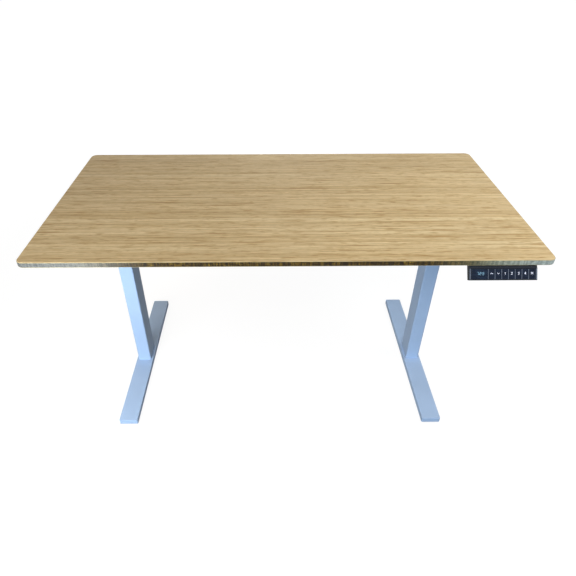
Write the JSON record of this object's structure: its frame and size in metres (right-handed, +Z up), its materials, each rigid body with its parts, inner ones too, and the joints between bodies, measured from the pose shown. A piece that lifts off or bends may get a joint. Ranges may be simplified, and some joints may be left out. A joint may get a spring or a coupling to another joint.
{
  "type": "height adjustable standing desk",
  "caption": "Sit-stand desk: rounded bamboo top on telescopic motor columns, T feet, under-top drive frame, control box and a keyed handset at the front edge.",
  "frame": {"origin": "on the floor, under the middle of the desk's footprint at rest, with the handset counted in", "axes": "+X to the user's right, +Y away from the user, +Z up"},
  "size_m": [1.524, 0.7852, 0.725],
  "materials": {
    "bamboo": "clear satin varnish on laminated bamboo strips",
    "frame_paint": "silver powder coat",
    "inner_tube_finish": "silver powder coat, smooth",
    "plain_steel": "zinc plated",
    "bolt_steel": "zinc plated",
    "ground_steel": "ground",
    "black_plastic": "fine grain",
    "nut_brass": "turned",
    "insert_brass": "turned",
    "wheel_nylon": "cut nylon",
    "pad_nylon": "moulded",
    "cast_alloy": "as cast",
    "motor_black": "black paint",
    "box_plastic": "fine grain",
    "socket_plastic": "smooth",
    "handset_plastic": "satin",
    "bezel_silver": "metallic paint",
    "display_glass": "polished",
    "board_green": "solder mask",
    "key_gloss": "polished"
  },
  "bodies": {
    "left_base": {"left_foot": "frame_paint", "left_foot_bolts": "bolt_steel", "left_leveller_plates": "plain_steel", "left_base_plate": "plain_steel", "left_outer_tube": "frame_paint", "left_column_collar": "black_plastic", "left_push_tube": "plain_steel", "left_spindle_nut": "nut_brass"},
    "table": {"back_rail": "frame_paint", "control_box_case": "box_plastic", "control_box_lid": "box_plastic", "control_box_sockets": "socket_plastic", "desktop": "bamboo", "desktop_inserts": "insert_brass", "desktop_screws": "bolt_steel", "display_window": "display_glass", "frame_bolts": "bolt_steel", "front_rail": "frame_paint", "gearbox_covers": "cast_alloy", "glide_pads": "pad_nylon", "handset_bezel": "bezel_silver", "handset_board": "board_green", "handset_shell": "handset_plastic", "left_gearbox_case": "cast_alloy", "left_inner_tube": "inner_tube_finish", "left_leg_head": "frame_paint", "left_motor": "motor_black", "left_side_bracket": "frame_paint", "right_gearbox_case": "cast_alloy", "right_inner_tube": "inner_tube_finish", "right_leg_head": "frame_paint", "right_motor": "motor_black", "right_side_bracket": "frame_paint", "spindle_bearings": "ground_steel", "wood_screws": "bolt_steel"},
    "right_base": {"right_foot": "frame_paint", "right_foot_bolts": "bolt_steel", "right_leveller_plates": "plain_steel", "right_base_plate": "plain_steel", "right_outer_tube": "frame_paint", "right_column_collar": "black_plastic", "right_push_tube": "plain_steel", "right_spindle_nut": "nut_brass"},
    "left_drive": {"left_spindle": "ground_steel", "left_worm_wheel": "wheel_nylon"},
    "left_worm": {"left_worm_shaft": "ground_steel"},
    "left_front_foot_screw": {"left_front_leveller": "black_plastic"},
    "left_back_foot_screw": {"left_back_leveller": "black_plastic"},
    "right_drive": {"right_spindle": "ground_steel", "right_worm_wheel": "wheel_nylon"},
    "right_worm": {"right_worm_shaft": "ground_steel"},
    "right_front_foot_screw": {"right_front_leveller": "black_plastic"},
    "right_back_foot_screw": {"right_back_leveller": "black_plastic"},
    "key_up_cap": {"key_up": "key_gloss"},
    "key_down_cap": {"key_down": "key_gloss"},
    "key_one_cap": {"key_one": "key_gloss"},
    "key_two_cap": {"key_two": "key_gloss"},
    "key_three_cap": {"key_three": "key_gloss"},
    "key_four_cap": {"key_four": "key_gloss"},
    "key_memory_cap": {"key_memory": "key_gloss"}
  },
  "joints": [
    {"name": "lift", "type": "slide", "parent": "left_base", "child": "table", "axis": [0, 0, 1], "range_m": [-0.035, 0.425]},
    {"name": "right_column", "type": "slide", "parent": "table", "child": "right_base", "axis": [0, 0, -1], "range_m": [-0.035, 0.425]},
    {"name": "left_screw", "type": "hinge", "parent": "table", "child": "left_drive", "pos_m": [-0.563, -0.02835, 0.67], "axis": [0, 0, 1], "range_deg": [-1575.16, 19126.91]},
    {"name": "left_worm_turn", "type": "hinge", "parent": "table", "child": "left_worm", "pos_m": [-0.563, -0.00435, 0.67], "axis": [1, 0, 0], "range_deg": [-18901.89, 229522.95]},
    {"name": "left_front_level", "type": "slide", "parent": "left_base", "child": "left_front_foot_screw", "axis": [0, 0, -1], "range_m": [0, 0.01]},
    {"name": "left_back_level", "type": "slide", "parent": "left_base", "child": "left_back_foot_screw", "axis": [0, 0, -1], "range_m": [0, 0.01]},
    {"name": "right_screw", "type": "hinge", "parent": "table", "child": "right_drive", "pos_m": [0.537, -0.02835, 0.67], "axis": [0, 0, 1], "range_deg": [-1575.16, 19126.91]},
    {"name": "right_worm_turn", "type": "hinge", "parent": "table", "child": "right_worm", "pos_m": [0.537, -0.00435, 0.67], "axis": [1, 0, 0], "range_deg": [-18901.89, 229522.95]},
    {"name": "right_front_level", "type": "slide", "parent": "right_base", "child": "right_front_foot_screw", "axis": [0, 0, -1], "range_m": [0, 0.01]},
    {"name": "right_back_level", "type": "slide", "parent": "right_base", "child": "right_back_foot_screw", "axis": [0, 0, -1], "range_m": [0, 0.01]},
    {"name": "press_up", "type": "slide", "parent": "table", "child": "key_up_cap", "axis": [0, 0.829, -0.5592], "range_m": [0, 0.0008], "stiffness_N_per_m": 1500, "springref_m": -0.0002},
    {"name": "press_down", "type": "slide", "parent": "table", "child": "key_down_cap", "axis": [0, 0.829, -0.5592], "range_m": [0, 0.0008], "stiffness_N_per_m": 1500, "springref_m": -0.0002},
    {"name": "press_one", "type": "slide", "parent": "table", "child": "key_one_cap", "axis": [0, 0.829, -0.5592], "range_m": [0, 0.0008], "stiffness_N_per_m": 1500, "springref_m": -0.0002},
    {"name": "press_two", "type": "slide", "parent": "table", "child": "key_two_cap", "axis": [0, 0.829, -0.5592], "range_m": [0, 0.0008], "stiffness_N_per_m": 1500, "springref_m": -0.0002},
    {"name": "press_three", "type": "slide", "parent": "table", "child": "key_three_cap", "axis": [0, 0.829, -0.5592], "range_m": [0, 0.0008], "stiffness_N_per_m": 1500, "springref_m": -0.0002},
    {"name": "press_four", "type": "slide", "parent": "table", "child": "key_four_cap", "axis": [0, 0.829, -0.5592], "range_m": [0, 0.0008], "stiffness_N_per_m": 1500, "springref_m": -0.0002},
    {"name": "press_memory", "type": "slide", "parent": "table", "child": "key_memory_cap", "axis": [0, 0.829, -0.5592], "range_m": [0, 0.0008], "stiffness_N_per_m": 1500, "springref_m": -0.0002}
  ],
  "couplings": [
    {"joint": "right_column", "follows": "lift", "ratio": 1},
    {"joint": "left_screw", "follows": "lift", "rad_per_m": 785.4},
    {"joint": "left_worm_turn", "follows": "lift", "rad_per_m": 9424.8},
    {"joint": "right_screw", "follows": "lift", "rad_per_m": 785.4},
    {"joint": "right_worm_turn", "follows": "lift", "rad_per_m": 9424.8}
  ]
}
